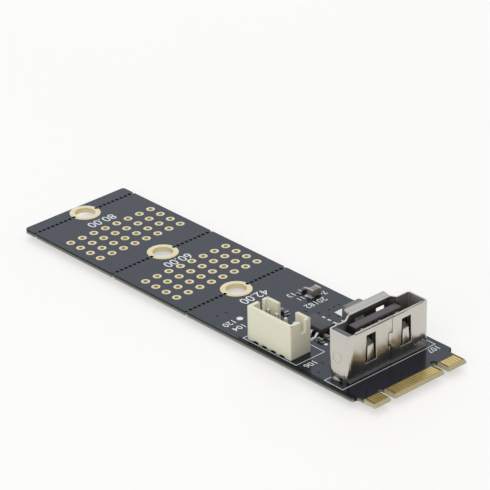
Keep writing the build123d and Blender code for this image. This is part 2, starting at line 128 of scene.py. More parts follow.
world = bpy.data.worlds.new("sweep")
bpy.context.scene.world = world
world.use_nodes = True
tree = world.node_tree
nodes, links = tree.nodes, tree.links
nodes.clear()
path = nodes.new("ShaderNodeLightPath")
direct = reckoned(
    tree, "MAXIMUM", path.outputs["Is Camera Ray"], path.outputs["Is Transmission Ray"]
)
dim = nodes.new("ShaderNodeBackground")
dim.inputs["Color"].default_value = (1.0, 0.985, 0.955, 1.0)
dim.inputs["Strength"].default_value = 0.45
cool = nodes.new("ShaderNodeBackground")
cool.inputs["Color"].default_value = (0.93, 0.95, 1.0, 1.0)
cool.inputs["Strength"].default_value = 0.95
white = nodes.new("ShaderNodeBackground")
white.inputs["Color"].default_value = (0.99, 0.99, 1.0, 1.0)
white.inputs["Strength"].default_value = 1.0
mirrored = nodes.new("ShaderNodeMixShader")
links.new(path.outputs["Is Glossy Ray"], mirrored.inputs["Fac"])
links.new(dim.outputs[0], mirrored.inputs[1])
links.new(cool.outputs[0], mirrored.inputs[2])
mixed = nodes.new("ShaderNodeMixShader")
links.new(direct, mixed.inputs["Fac"])
links.new(mirrored.outputs[0], mixed.inputs[1])
links.new(white.outputs[0], mixed.inputs[2])
output = nodes.new("ShaderNodeOutputWorld")
links.new(mixed.outputs[0], output.inputs["Surface"])

bpy.ops.object.select_all(action="DESELECT")
table_width = 4.0
table_gap = 0.01 * mm
bpy.ops.mesh.primitive_plane_add(size=table_width, location=(0, 0, cad_box[0][2] - table_gap))
floor = bpy.context.object
floor.name = "table"
floor_material = bpy.data.materials.new("table_white")
floor_material.use_nodes = True
tree = floor_material.node_tree
nodes, links = tree.nodes, tree.links
nodes["Principled BSDF"].inputs["Roughness"].default_value = 0.9
nodes["Principled BSDF"].inputs["Specular IOR Level"].default_value = 0.1
speckle = nodes.new("ShaderNodeTexNoise")
speckle.inputs["Scale"].default_value = 40.0
tint = blended(tree, speckle.outputs["Fac"], (0.88, 0.88, 0.88, 1), (0.92, 0.92, 0.92, 1))
links.new(tint, nodes["Principled BSDF"].inputs["Base Color"])
path = nodes.new("ShaderNodeLightPath")
looked_at = reckoned(tree, "MAXIMUM", path.outputs["Is Camera Ray"], path.outputs["Is Glossy Ray"])
lift = reckoned(tree, "MULTIPLY", looked_at, 0.55)
paper = nodes.new("ShaderNodeEmission")
paper.inputs["Color"].default_value = (1.0, 0.995, 0.985, 1)
paper.inputs["Strength"].default_value = 0.98
table = nodes.new("ShaderNodeMixShader")
links.new(lift, table.inputs["Fac"])
links.new(nodes["Principled BSDF"].outputs[0], table.inputs[1])
links.new(paper.outputs[0], table.inputs[2])
links.new(table.outputs[0], nodes["Material Output"].inputs["Surface"])
floor.data.materials.append(floor_material)


# Panels that only mirror rays meet: the front of the studio is dark, behind the camera and to its
# right, and the low part of the backdrop is its brightest and a little blue.
towards_camera = Vector((back[0], back[1], 0)).normalized()
panel_width = 1.7
panel_distance = 0.85
panel_foot = 0.01
for name, sideways, top, brightness, colour in (
    ("camera_flag", 0.0, 0.66, 0.05, (1.0, 0.97, 0.94)),
    ("right_flag", math.pi / 2, 0.66, 0.35, (1.0, 0.97, 0.94)),
    ("back_sweep", math.pi, 0.6, 1.26, (0.855, 0.91, 1.0)),
):
    towards = towards_camera.copy()
    towards.rotate(Euler((0, 0, sideways)))
    bpy.ops.object.select_all(action="DESELECT")
    bpy.ops.mesh.primitive_plane_add(size=1.0)
    flag = bpy.context.object
    flag.name = name
    flag.scale = (panel_width, top, 1)
    flag.location = Vector((target[0], target[1], top / 2 + panel_foot)) + towards * panel_distance
    flag.rotation_euler = (-towards).to_track_quat("Z", "Y").to_euler()
    bpy.ops.object.transform_apply(location=True, rotation=True, scale=True)
    cloth = bpy.data.materials.new(f"{name}_cloth")
    cloth.use_nodes = True
    cloth_nodes = cloth.node_tree.nodes
    cloth_nodes["Principled BSDF"].inputs["Base Color"].default_value = (0.02, 0.018, 0.017, 1)
    cloth_nodes["Principled BSDF"].inputs["Emission Color"].default_value = (*colour, 1)
    cloth_nodes["Principled BSDF"].inputs["Emission Strength"].default_value = brightness
    flag.data.materials.append(cloth)
    flag.visible_camera = False
    flag.visible_diffuse = False
    flag.visible_shadow = False
    flag.visible_transmission = False


# Soft boxes: square lamps to the left of the camera, overhead and behind the card. No mirror ray
# meets them, so they shape the faces without a bright square in the plated ones.
for name, direction, reach, size, power, colour in (
    ("left_softbox", (-1.0, -0.6, 0.75), 0.55, 0.45, 1.6, (1.0, 0.99, 0.985)),
    ("top_softbox", (0.25, 0.35, 1.0), 0.6, 0.6, 1.6, (1.0, 1.0, 1.0)),
    ("back_softbox", (0.9, 1.0, 0.6), 0.7, 0.5, 1.0, (0.93, 0.96, 1.0)),
):
    lamp = bpy.data.lights.new(name, "AREA")
    lamp.shape = "SQUARE"
    lamp.size = size
    lamp.energy = power
    lamp.color = colour
    holder = bpy.data.objects.new(name, lamp)
    bpy.context.scene.collection.objects.link(holder)
    holder.location = Vector(direction).normalized() * reach
    holder.rotation_euler = Vector(direction).to_track_quat("Z", "Y").to_euler()
    holder.visible_camera = False
    holder.visible_glossy = False


# Card laminate: pale glass-fibre board under a thin, glossy black solder mask. Its holes are
# drilled round here, where the solids have few-sided ones. The mask stops short of the fingers.
weld_distance = 0.000001


def only(obj):
    """Selects this object alone and makes it the active one."""
    bpy.ops.object.select_all(action="DESELECT")
    obj.select_set(True)
    bpy.context.view_layer.objects.active = obj


def joined(pieces):
    """Joins the pieces into the first one, which stays the active one."""
    only(pieces[0])
    for piece in pieces:
        piece.select_set(True)
    bpy.ops.object.join()
    return bpy.context.object


def take_over(piece, node, material):
    """The piece stands for the CAD node, which it hides, with this material, fixed to the card."""
    piece.data.materials.clear()
    piece.data.materials.append(material)
    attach(piece, "root")
    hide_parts(node)


def merged_copy(node, name):
    """A copy of a CAD node's mesh with its loose triangles joined into whole faces."""
    piece = bpy.data.objects.new(name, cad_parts[node].data.copy())
    bpy.context.scene.collection.objects.link(piece)
    only(piece)
    bpy.ops.object.mode_set(mode="EDIT")
    bpy.ops.mesh.select_all(action="SELECT")
    bpy.ops.mesh.remove_doubles(threshold=weld_distance)
    bpy.ops.object.mode_set(mode="OBJECT")
    return piece


board = merged_copy("circuit_board", "board_laminate")
board_bottom = board_low[2]
mask_start = finger_edge + 2.5 * mm
bare_end = finger_edge + 2.6 * mm
tongue_step = finger_edge + 3.9 * mm
rim_start = 10.6 * mm
far_end = board_high[1] - 0.1 * mm
edge_dark_start, edge_dark_full = board_bottom + 0.22 * mm, board_bottom + 0.58 * mm
gilt_start, gilt_full = board_bottom + 0.3 * mm, board_bottom + 0.75 * mm
dull_margin, dull_side = -10.2 * mm, -10.4 * mm
dull_end, dull_start = finger_edge + 30.5 * mm, finger_edge + 29.5 * mm
level_limit = 0.97
grid_pitch = 2.54 * mm
grid_rows = 4
grid_columns = 8
ring_distances = [42.0, 60.0, 80.0]
land_radius = 0.75 * mm
perforation_radius = 0.33 * mm
perforation_pitch = 0.94 * mm
first_perforation = 2.47 * mm
perforations_per_side = 9
ring_seat = 1.8 * mm
drill_length = 3 * mm
easing = 1.001
grids = {}
for name in ("far", "near"):
    low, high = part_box(f"plated_holes_{name}")
    grids[name] = [
        (
            (column - (grid_columns - 1) / 2) * grid_pitch,
            (low[1] + high[1]) / 2 + (row - (grid_rows - 1) / 2) * grid_pitch,
        )
        for row in range(grid_rows)
        for column in range(grid_columns)
    ]
perforation_places = [
    (side * (first_perforation + perforation_pitch * index), finger_edge + length * mm)
    for length in ring_distances
    for side in (-1, 1)
    for index in range(perforations_per_side)
]
ring_places = [(0.0, finger_edge + length * mm) for length in ring_distances]
drills = [(place, land_radius * easing, 24) for places in grids.values() for place in places]
drills += [(place, perforation_radius, 16) for place in perforation_places]
drills += [(place, ring_seat * easing, 64) for place in ring_places]
mid_height = (board_top + board_bottom) / 2
bits = []
for (x, y), radius, sides in drills:
    bpy.ops.mesh.primitive_cylinder_add(
        vertices=sides, radius=radius, depth=drill_length, location=(x, y, mid_height)
    )
    bits.append(bpy.context.object)
drill = joined(bits)
only(board)
cut = board.modifiers.new("holes", "BOOLEAN")
cut.operation = "DIFFERENCE"
cut.solver = "EXACT"
cut.object = drill
bpy.ops.object.modifier_apply(modifier="holes")
bpy.data.objects.remove(drill)

mask = bpy.data.materials.new("solder_mask_over_laminate")
mask.use_nodes = True
tree = mask.node_tree
nodes, links = tree.nodes, tree.links
shader = nodes["Principled BSDF"]
shader.inputs["Specular IOR Level"].default_value = 0.04
shader.inputs["Coat Roughness"].default_value = 0.16
place = nodes.new("ShaderNodeTexCoord")
split = nodes.new("ShaderNodeSeparateXYZ")
links.new(place.outputs["Object"], split.inputs[0])
facing = nodes.new("ShaderNodeNewGeometry")
tilt = nodes.new("ShaderNodeSeparateXYZ")
links.new(facing.outputs["True Normal"], tilt.inputs[0])
upright = reckoned(tree, "ABSOLUTE", tilt.outputs["Z"])
is_face = reckoned(tree, "GREATER_THAN", upright, level_limit)
past_fingers = reckoned(tree, "GREATER_THAN", split.outputs["Y"], mask_start)
masked = reckoned(tree, "MULTIPLY", is_face, past_fingers)
across = reckoned(tree, "ABSOLUTE", split.outputs["X"])
is_rim = reckoned(tree, "GREATER_THAN", across, rim_start)
is_front = reckoned(tree, "LESS_THAN", split.outputs["Y"], tongue_step)
is_end = reckoned(tree, "GREATER_THAN", split.outputs["Y"], far_end)
outside = reckoned(tree, "MAXIMUM", is_rim, is_front)
outer = reckoned(tree, "MAXIMUM", outside, is_end)
fibres = nodes.new("ShaderNodeTexWave")
fibres.bands_direction = "Z"
fibres.inputs["Scale"].default_value = 2200.0
fibres.inputs["Distortion"].default_value = 3.0
fibres.inputs["Detail"].default_value = 3.0
links.new(place.outputs["Object"], fibres.inputs["Vector"])
glass_cloth = blended(tree, fibres.outputs["Fac"], (0.16, 0.17, 0.14, 1), (0.26, 0.27, 0.23, 1))
# The cut edge is glass cloth at its foot and turns near black towards the top face.
darker_above = ranged(tree, split.outputs["Z"], start=edge_dark_start, end=edge_dark_full)
cut_edge = blended(tree, darker_above, glass_cloth, (0.030, 0.032, 0.030, 1))
is_bare = reckoned(tree, "LESS_THAN", split.outputs["Y"], bare_end)
bare_resin = blended(tree, fibres.outputs["Fac"], (0.40, 0.38, 0.28, 1), (0.52, 0.50, 0.39, 1))
upper_part = ranged(tree, split.outputs["Z"], start=gilt_start, end=gilt_full)
gilded = blended(tree, upper_part, bare_resin, (0.41, 0.35, 0.18, 1))
edge = blended(tree, is_bare, cut_edge, gilded)
# Painted shade: the walls of the drilled holes, pale laminate in the card, are painted near black.
laminate = blended(tree, outer, (0.020, 0.019, 0.018, 1), edge)
weave = nodes.new("ShaderNodeTexNoise")
weave.inputs["Scale"].default_value = 900.0
weave.inputs["Detail"].default_value = 6.0
links.new(place.outputs["Object"], weave.inputs["Vector"])
ink = blended(tree, weave.outputs["Fac"], (0.006, 0.008, 0.014, 1), (0.011, 0.013, 0.022, 1))
between_pads = reckoned(tree, "MULTIPLY", is_face, is_bare)
tongue_skin = blended(tree, between_pads, laminate, (0.19, 0.145, 0.058, 1))
coloured = blended(tree, masked, tongue_skin, ink)
links.new(coloured, shader.inputs["Base Color"])
gloss = ranged(tree, masked, low=0.7, high=0.16)
links.new(gloss, shader.inputs["Roughness"])
# Painted shade: along the left margin, beside the socket and the header, the coat thins out, so that
# the mask reflects less there and stands in for their shadow.
margin = ranged(tree, split.outputs["X"], start=dull_margin, end=dull_side, high=0.85)
beside_parts = ranged(tree, split.outputs["Y"], start=dull_end, end=dull_start)
shadow_strip = reckoned(tree, "MULTIPLY", margin, beside_parts)
varnish = ranged(tree, shadow_strip, low=0.55, high=0.0)
coat = reckoned(tree, "MULTIPLY", varnish, masked)
links.new(coat, shader.inputs["Coat Weight"])
ripple = nodes.new("ShaderNodeBump")
ripple.inputs["Strength"].default_value = 0.6
ripple.inputs["Distance"].default_value = 0.000002
links.new(weave.outputs["Fac"], ripple.inputs["Height"])
links.new(ripple.outputs["Normal"], shader.inputs["Normal"])
take_over(board, "circuit_board", mask)


# Holding rings: a sleeve through the card with a wide land on each face, thin gold over nickel on
# copper. The first perforation of the snap line bites into the land on both sides. They are the
# first to take the fine surface, which all plated, moulded and fired pieces share.
surface = bpy.data.node_groups.new("fine_surface", "ShaderNodeTree")
for socket_name, socket_type, first_value in (
    ("Tone A", "NodeSocketColor", (0.5, 0.5, 0.5, 1)),
    ("Tone B", "NodeSocketColor", (0.5, 0.5, 0.5, 1)),
    ("Patch Scale", "NodeSocketFloat", 300.0),
    ("Grain Scale", "NodeSocketFloat", 6000.0),
    ("Grain Depth", "NodeSocketFloat", 0.000004),
    ("Roughness Low", "NodeSocketFloat", 0.3),
    ("Roughness High", "NodeSocketFloat", 0.5),
):
    socket = surface.interface.new_socket(socket_name, in_out="INPUT", socket_type=socket_type)
    socket.default_value = first_value
surface.interface.new_socket("Color", in_out="OUTPUT", socket_type="NodeSocketColor")
surface.interface.new_socket("Roughness", in_out="OUTPUT", socket_type="NodeSocketFloat")
surface.interface.new_socket("Normal", in_out="OUTPUT", socket_type="NodeSocketVector")
nodes, links = surface.nodes, surface.links
given = nodes.new("NodeGroupInput")
place = nodes.new("ShaderNodeTexCoord")
patches = nodes.new("ShaderNodeTexNoise")
patches.inputs["Detail"].default_value = 4.0
links.new(place.outputs["Object"], patches.inputs["Vector"])
links.new(given.outputs["Patch Scale"], patches.inputs["Scale"])
grain = nodes.new("ShaderNodeTexNoise")
grain.inputs["Detail"].default_value = 2.0
links.new(place.outputs["Object"], grain.inputs["Vector"])
links.new(given.outputs["Grain Scale"], grain.inputs["Scale"])
blend = nodes.new("ShaderNodeMix")
blend.data_type = "RGBA"
links.new(patches.outputs["Fac"], blend.inputs["Factor"])
links.new(given.outputs["Tone A"], blend.inputs["A"])
links.new(given.outputs["Tone B"], blend.inputs["B"])
rough = nodes.new("ShaderNodeMapRange")
links.new(patches.outputs["Fac"], rough.inputs["Value"])
links.new(given.outputs["Roughness Low"], rough.inputs["To Min"])
links.new(given.outputs["Roughness High"], rough.inputs["To Max"])
bump = nodes.new("ShaderNodeBump")
bump.inputs["Strength"].default_value = 1.0
links.new(grain.outputs["Fac"], bump.inputs["Height"])
links.new(given.outputs["Grain Depth"], bump.inputs["Distance"])
result = nodes.new("NodeGroupOutput")
links.new(blend.outputs["Result"], result.inputs["Color"])
links.new(rough.outputs["Result"], result.inputs["Roughness"])
links.new(bump.outputs["Normal"], result.inputs["Normal"])


def finished(name, tone_a, tone_b, roughness, patch, grain, depth, metallic=0.0):
    """A material of the fine surface: mottled between two tones, unevenly rough, finely grained.

    Roughness is a pair, its least and its most; patch and grain are noise scales.
    """
    material = bpy.data.materials.new(name)
    material.use_nodes = True
    tree = material.node_tree
    group = tree.nodes.new("ShaderNodeGroup")
    group.node_tree = surface
    group.inputs["Tone A"].default_value = (*tone_a, 1)
    group.inputs["Tone B"].default_value = (*tone_b, 1)
    group.inputs["Patch Scale"].default_value = patch
    group.inputs["Grain Scale"].default_value = grain
    group.inputs["Grain Depth"].default_value = depth
    group.inputs["Roughness Low"].default_value = roughness[0]
    group.inputs["Roughness High"].default_value = roughness[1]
    shader = tree.nodes["Principled BSDF"]
    shader.inputs["Metallic"].default_value = metallic
    tree.links.new(group.outputs["Color"], shader.inputs["Base Color"])
    tree.links.new(group.outputs["Roughness"], shader.inputs["Roughness"])
    tree.links.new(group.outputs["Normal"], shader.inputs["Normal"])
    return material


gold = finished(
    "gold_plating", (0.71, 0.61, 0.355), (0.77, 0.68, 0.43), (0.30, 0.42),
    patch=700.0, grain=9000.0, depth=0.000002, metallic=1.0,
)


def lathed(name, profile, sides, centre):
    """A closed ring round the centre: a circle drawn along the profile of radii and heights."""
    radius, height = profile[0]
    bpy.ops.object.select_all(action="DESELECT")
    bpy.ops.mesh.primitive_circle_add(
        vertices=sides, radius=radius, location=(centre[0], centre[1], height), enter_editmode=True
    )
    piece = bpy.context.object
    piece.name = name
    bpy.ops.mesh.select_all(action="SELECT")
    for next_radius, next_height in [*profile[1:], profile[0]]:
        bpy.ops.mesh.extrude_edges_move(
            TRANSFORM_OT_translate={"value": (0, 0, next_height - height)}
        )
        factor = next_radius / radius
        bpy.ops.transform.resize(
            value=(factor, factor, 1), center_override=(centre[0], centre[1], next_height)
        )
        radius, height = next_radius, next_height
    bpy.ops.mesh.select_all(action="SELECT")
    bpy.ops.mesh.remove_doubles(threshold=weld_distance)
    bpy.ops.mesh.normals_make_consistent(inside=False)
    bpy.ops.object.mode_set(mode="OBJECT")
    bpy.ops.object.transform_apply(location=True, rotation=True, scale=True)
    return piece


def copied(piece, name, place):
    """A copy of the piece, with a mesh of its own, moved to the place on the card."""
    only(piece)
    bpy.ops.object.duplicate_move(TRANSFORM_OT_translate={"value": (*place, 0)})
    copy = bpy.context.object
    copy.name = name
    bpy.ops.object.transform_apply(location=True, rotation=True, scale=True)
    return copy


land = 0.035 * mm
land_corner = 0.03 * mm
bore = 1.75 * mm
sleeve_back = 1.799 * mm
land_edge = 2.65 * mm
sleeve = [
    (bore, board_bottom - land), (bore, board_top + 0.8 * land),
    (bore + land_corner, board_top + land), (land_edge - land_corner, board_top + land),
    (land_edge, board_top + 0.6 * land), (land_edge, board_top), (sleeve_back, board_top),
    (sleeve_back, board_bottom), (land_edge, board_bottom), (land_edge, board_bottom - 0.6 * land),
    (land_edge - land_corner, board_bottom - land),
]
first_ring = lathed("first_ring", sleeve, sides=72, centre=(0, 0))
cutters = []
for side in (-1, 1):
    bpy.ops.mesh.primitive_cylinder_add(
        vertices=24, radius=perforation_radius, depth=drill_length,
        location=(side * first_perforation, 0, board_top),
    )
    cutters.append(bpy.context.object)
only(first_ring)
for cutter in cutters:
    bite = first_ring.modifiers.new("bite", "BOOLEAN")
    bite.operation = "DIFFERENCE"
    bite.object = cutter
    bpy.ops.object.modifier_apply(modifier="bite")
    bpy.data.objects.remove(cutter)
bpy.ops.object.shade_smooth_by_angle(angle=math.radians(30))
for length, place in zip(ring_distances, ring_places):
    ring = copied(first_ring, f"gold_ring_{length:.0f}", place)
    take_over(ring, f"mounting_ring_{length:.0f}", gold)
bpy.data.objects.remove(first_ring)


# Plated holes of the two grids: round lands with a small open hole, plated with gold from face to
# face when the card is made. One eyelet is turned, and the others are its copies.
hole = 0.36 * mm
hole_mouth = 0.41 * mm
eyelet = [
    (hole, board_bottom - 0.6 * land), (hole, board_top + 0.6 * land),
    (hole_mouth, board_top + land), (land_radius - land_corner, board_top + land),
    (land_radius, board_top + 0.5 * land), (land_radius, board_bottom - 0.5 * land),
    (land_radius - land_corner, board_bottom - land), (hole_mouth, board_bottom - land),
]
first_eyelet = lathed("first_eyelet", eyelet, sides=24, centre=(0, 0))
bpy.ops.object.shade_smooth_by_angle(angle=math.radians(35))
for name, places in grids.items():
    grid = joined([copied(first_eyelet, "eyelet", place) for place in places])
    grid.name = f"gold_grid_{name}"
    take_over(grid, f"plated_holes_{name}", gold)
bpy.data.objects.remove(first_eyelet)


# Card-edge fingers: pads of hard gold on both faces of the tongue, plated on copper, with softened
# borders. The bare laminate shows between them.
def softened(node, name, material, width, segments=2, smooth=32.0):
    """A merged copy of a CAD node with its edges rounded, which then stands for that node.

    Where edges meet too closely the rounding can throw a point out; such points go back to the skin.
    """
    piece = merged_copy(node, name)
    skin = BVHTree.FromPolygons(
        [vertex.co.copy() for vertex in piece.data.vertices],
        [tuple(face.vertices) for face in piece.data.polygons],
    )
    bevel = piece.modifiers.new("edges", "BEVEL")
    bevel.width = width
    bevel.segments = segments
    bevel.limit_method = "ANGLE"
    bevel.angle_limit = math.radians(smooth)
    bevel.use_clamp_overlap = False
    bpy.ops.object.modifier_apply(modifier="edges")
    for vertex in piece.data.vertices:
        place, _, _, distance = skin.find_nearest(vertex.co)
        if distance > width:
            vertex.co = place
    bpy.ops.object.shade_smooth_by_angle(angle=math.radians(smooth))
    take_over(piece, node, material)


hard_gold = finished(
    "hard_gold", (0.64, 0.475, 0.155), (0.77, 0.61, 0.265), (0.24, 0.4),
    patch=420.0, grain=9000.0, depth=0.000002, metallic=1.0,
)
for node in ("edge_contacts_top", "edge_contacts_bottom"):
    softened(node, f"gold_{node}", hard_gold, width=0.008 * mm, segments=1)


# Socket shell: bright nickel over one folded steel sheet, whose cut edges are slightly rounded. The
# upright walls bow a little, the end walls more, which is done in their shading. The back lip is
# duller and the foot of the front wall is hazy. The inside of the brim, the inner faces of the crown
# and the hooks of the front blades are painted darker, as painted shade; the hooks also carry a
# painted dark reflection.
nickel = finished(
    "bright_nickel", (0.555, 0.53, 0.48), (0.60, 0.575, 0.525), (0.16, 0.19),
    patch=260.0, grain=2600.0, depth=0.00000005, metallic=1.0,
)
tree = nickel.node_tree
nodes, links = tree.nodes, tree.links
place = nodes.new("ShaderNodeTexCoord")
split = nodes.new("ShaderNodeSeparateXYZ")
links.new(place.outputs["Object"], split.inputs[0])
across = reckoned(tree, "ABSOLUTE", split.outputs["X"])
plated = nodes["Group"].outputs["Color"]
satin = nodes["Group"].outputs["Roughness"]
facing = nodes.new("ShaderNodeNewGeometry")
direction = nodes.new("ShaderNodeSeparateXYZ")
links.new(facing.outputs["True Normal"], direction.inputs[0])
dull_roughness = 0.48
hazy_roughness = 0.34
inside_half = 8.56 * mm
below_lips = board_top + 8.2 * mm
front_inside = finger_edge + 7.3 * mm
foot_high, foot_low = board_top + 1.7 * mm, board_top + 0.7 * mm
for tone, limits in (
    # flared lip at the back
    ((0.53, 0.52, 0.485, 1), (
        (split.outputs["Y"], "GREATER_THAN", finger_edge + 12.62 * mm),
        (split.outputs["Z"], "GREATER_THAN", board_top + 7.9 * mm),
    )),
    # inner faces of the crown and its jogs: painted shade, dark
    ((0.22, 0.21, 0.19, 1), (
        (direction.outputs["Y"], "LESS_THAN", -0.2),
        (split.outputs["X"], "LESS_THAN", 5.9 * mm),
        (split.outputs["Y"], "GREATER_THAN", finger_edge + 10.5 * mm),
        (split.outputs["Y"], "LESS_THAN", finger_edge + 12.34 * mm),
        (split.outputs["Z"], "LESS_THAN", below_lips),
    )),
    # inside of the brim: painted shade, a little darker
    ((0.50, 0.48, 0.44, 1), (
        (across, "LESS_THAN", inside_half),
        (split.outputs["Y"], "GREATER_THAN", finger_edge + 7.51 * mm),
        (split.outputs["Y"], "LESS_THAN", finger_edge + 11.28 * mm),
        (split.outputs["Z"], "LESS_THAN", below_lips),
    )),
    # hooks of the front blades: painted shade and a painted dark reflection, near black
    ((0.14, 0.13, 0.11, 1), (
        (across, "LESS_THAN", inside_half),
        (split.outputs["Y"], "GREATER_THAN", finger_edge + 7.4 * mm),
        (split.outputs["Y"], "LESS_THAN", finger_edge + 8.6 * mm),
        (split.outputs["Z"], "GREATER_THAN", board_top + 5.14 * mm),
        (split.outputs["Z"], "LESS_THAN", board_top + 5.9 * mm),
    )),
):
    zone = None
    for axis, operation, limit in limits:
        within = reckoned(tree, operation, axis, limit)
        zone = within if zone is None else reckoned(tree, "MULTIPLY", zone, within)
    plated = blended(tree, zone, plated, tone)
    satin = blended(tree, zone, satin, dull_roughness, kind="FLOAT")
links.new(plated, nodes["Principled BSDF"].inputs["Base Color"])
foot = ranged(tree, split.outputs["Z"], start=foot_high, end=foot_low)
on_front = reckoned(tree, "LESS_THAN", split.outputs["Y"], front_inside)
hazy = reckoned(tree, "MULTIPLY", foot, on_front)
haze = blended(tree, hazy, satin, hazy_roughness, kind="FLOAT")
links.new(haze, nodes["Principled BSDF"].inputs["Roughness"])
leaning = nodes.new("ShaderNodeMix")
leaning.data_type = "VECTOR"
for lean, end in ((0.042, "A"), (0.12, "B")):
    draft = nodes.new("ShaderNodeBump")
    draft.invert = True
    draft.inputs["Distance"].default_value = lean
    links.new(split.outputs["Z"], draft.inputs["Height"])
    links.new(nodes["Group"].outputs["Normal"], draft.inputs["Normal"])
    links.new(draft.outputs["Normal"], leaning.inputs[end])
sideways = reckoned(tree, "ABSOLUTE", direction.outputs["X"])
is_end_wall = ranged(tree, sideways, start=0.7, end=0.98)
links.new(is_end_wall, leaning.inputs["Factor"])
links.new(leaning.outputs["Result"], nodes["Principled BSDF"].inputs["Normal"])
softened("socket_shell", "folded_shell", nickel, width=0.05 * mm, segments=3)


# Socket moulding: base, tongue and end key in one piece of black glass-filled nylon, whose top faces
# are painted lighter grey as painted light. Gold contact blades are pressed into the tongue.
black_nylon = finished(
    "black_nylon", (0.014, 0.013, 0.016), (0.024, 0.022, 0.026), (0.40, 0.52),
    patch=500.0, grain=5200.0, depth=0.000006,
)
tree = black_nylon.node_tree
nodes, links = tree.nodes, tree.links
place = nodes.new("ShaderNodeTexCoord")
split = nodes.new("ShaderNodeSeparateXYZ")
links.new(place.outputs["Object"], split.inputs[0])
moulded = nodes["Group"].outputs["Color"]
# Painted light: above these heights the moulding's top faces are painted lighter grey.
for height, tone in ((7.3 * mm, (0.082, 0.076, 0.084, 1)), (8.0 * mm, (0.10, 0.10, 0.105, 1))):
    painted_lit_top = reckoned(tree, "GREATER_THAN", split.outputs["Z"], board_top + height)
    moulded = blended(tree, painted_lit_top, moulded, tone)
links.new(moulded, nodes["Principled BSDF"].inputs["Base Color"])
nodes["Principled BSDF"].inputs["Specular IOR Level"].default_value = 0.32
softened("socket_insulator", "socket_moulding", black_nylon, width=0.06 * mm)
for node in ("socket_signal_contacts", "socket_power_contacts"):
    softened(node, f"gold_{node}", gold, width=0.03 * mm)


# Power header: a box moulded in ivory nylon with a satin skin, with four tin-plated square pins
# pressed through its floor into the card.
ivory = finished(
    "ivory_nylon", (0.625, 0.615, 0.48), (0.675, 0.665, 0.54), (0.36, 0.5),
    patch=350.0, grain=4200.0, depth=0.000005,
)
ivory.node_tree.nodes["Principled BSDF"].inputs["Subsurface Weight"].default_value = 0.15
ivory.node_tree.nodes["Principled BSDF"].inputs["Subsurface Scale"].default_value = 0.0008
softened("header_housing", "ivory_header", ivory, width=0.07 * mm, segments=3)
tin = finished(
    "bright_tin", (0.70, 0.69, 0.65), (0.78, 0.77, 0.73), (0.2, 0.34),
    patch=900.0, grain=7000.0, depth=0.000003, metallic=1.0,
)
softened("header_pins", "square_pins", tin, width=0.04 * mm)


# Solder under the card: satin tin with a slightly lumpy skin, run up round the tails of the socket
# and the header.
solder = finished(
    "satin_solder", (0.62, 0.62, 0.60), (0.72, 0.72, 0.70), (0.28, 0.42),
    patch=1500.0, grain=3800.0, depth=0.000008, metallic=1.0,
)
for node in ("socket_solder", "header_solder"):
    softened(node, f"tin_{node}", solder, width=0.08 * mm, segments=3)


# Controller chip: a body moulded in fine matt epoxy, on eight tin-plated gull-wing leads that are
# soldered to the card.
epoxy = finished(
    "chip_epoxy", (0.024, 0.022, 0.023), (0.038, 0.035, 0.036), (0.34, 0.44),
    patch=700.0, grain=9000.0, depth=0.000007,
)
epoxy.node_tree.nodes["Principled BSDF"].inputs["Specular IOR Level"].default_value = 0.36
softened("chip_body", "chip_moulding", epoxy, width=0.05 * mm)
softened("chip_leads", "gull_wing_leads", tin, width=0.03 * mm)


# Power inductor: a block pressed from iron powder round its coil, matt grey and grainy, on two
# tinned terminals.
iron_powder = finished(
    "pressed_iron_powder", (0.11, 0.11, 0.10), (0.18, 0.175, 0.16), (0.5, 0.7),
    patch=1800.0, grain=5200.0, depth=0.000012,
)
softened("inductor_core", "inductor_block", iron_powder, width=0.08 * mm)
softened("inductor_terminals", "inductor_feet", solder, width=0.03 * mm)


# Chip components: fired ceramic capacitors, olive, and glazed black resistors, each soldered by its
# two dull tinned caps.
olive = finished(
    "olive_ceramic", (0.15, 0.135, 0.10), (0.23, 0.21, 0.16), (0.32, 0.48),
    patch=900.0, grain=6000.0, depth=0.000004,
)
dull_tin = finished(
    "dull_tin", (0.40, 0.38, 0.35), (0.52, 0.50, 0.46), (0.34, 0.48),
    patch=1500.0, grain=3800.0, depth=0.000006, metallic=1.0,
)
black_glaze = finished(
    "black_glaze", (0.012, 0.012, 0.014), (0.024, 0.024, 0.028), (0.2, 0.35),
    patch=900.0, grain=6000.0, depth=0.000003,
)
for node, material in (
    ("power_capacitor_body", olive),
    ("small_capacitor_body", olive),
    ("resistor_body", black_glaze),
    ("power_capacitor_caps", dull_tin),
    ("small_capacitor_caps", dull_tin),
    ("resistor_caps", dull_tin),
):
    softened(node, f"chip_{node}", material, width=0.04 * mm)


# Printed marks: white ink, about a hundredth of a millimetre thick, screened on the card in thin
# outlines and plain numbers. Places are in mm from the card's middle line and its finger edge.
white_ink = finished(
    "white_ink", (0.60, 0.64, 0.68), (0.72, 0.75, 0.79), (0.45, 0.6),
    patch=1600.0, grain=8000.0, depth=0.000004,
)
ink_height = board_top + 0.012 * mm
ink_step = 0.0002 * mm
font_ratio = 1.4
outline_width = 0.13
number_height = 1.85
mark_stroke = 0.005


def dressed(piece, name, material):
    """Names a new piece, gives it its finish, and fixes it to the card."""
    piece.name = name
    piece.data.materials.clear()
    piece.data.materials.append(material)
    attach(piece, "root")


def printed_text(text, name, x, y, height, stroke=0.0):
    """Plain numbers, printed so that they read from the far side of the card.

    The height is a figure's own, and the stroke is what its lines gain on each side.
    """
    bpy.ops.object.select_all(action="DESELECT")
    bpy.ops.object.text_add(location=(0, 0, 0))
    words = bpy.context.object
    words.data.body = text
    words.data.align_x = "CENTER"
    words.data.align_y = "CENTER"
    words.data.size = height * mm * font_ratio
    words.data.offset = stroke * mm
    words.data.resolution_u = 6
    bpy.ops.object.convert(target="MESH")
    words = bpy.context.object
    words.rotation_euler = (0, 0, math.pi)
    words.location = (x * mm, finger_edge + y * mm, ink_height)
    bpy.ops.object.transform_apply(location=True, rotation=True, scale=True)
    dressed(words, name, white_ink)


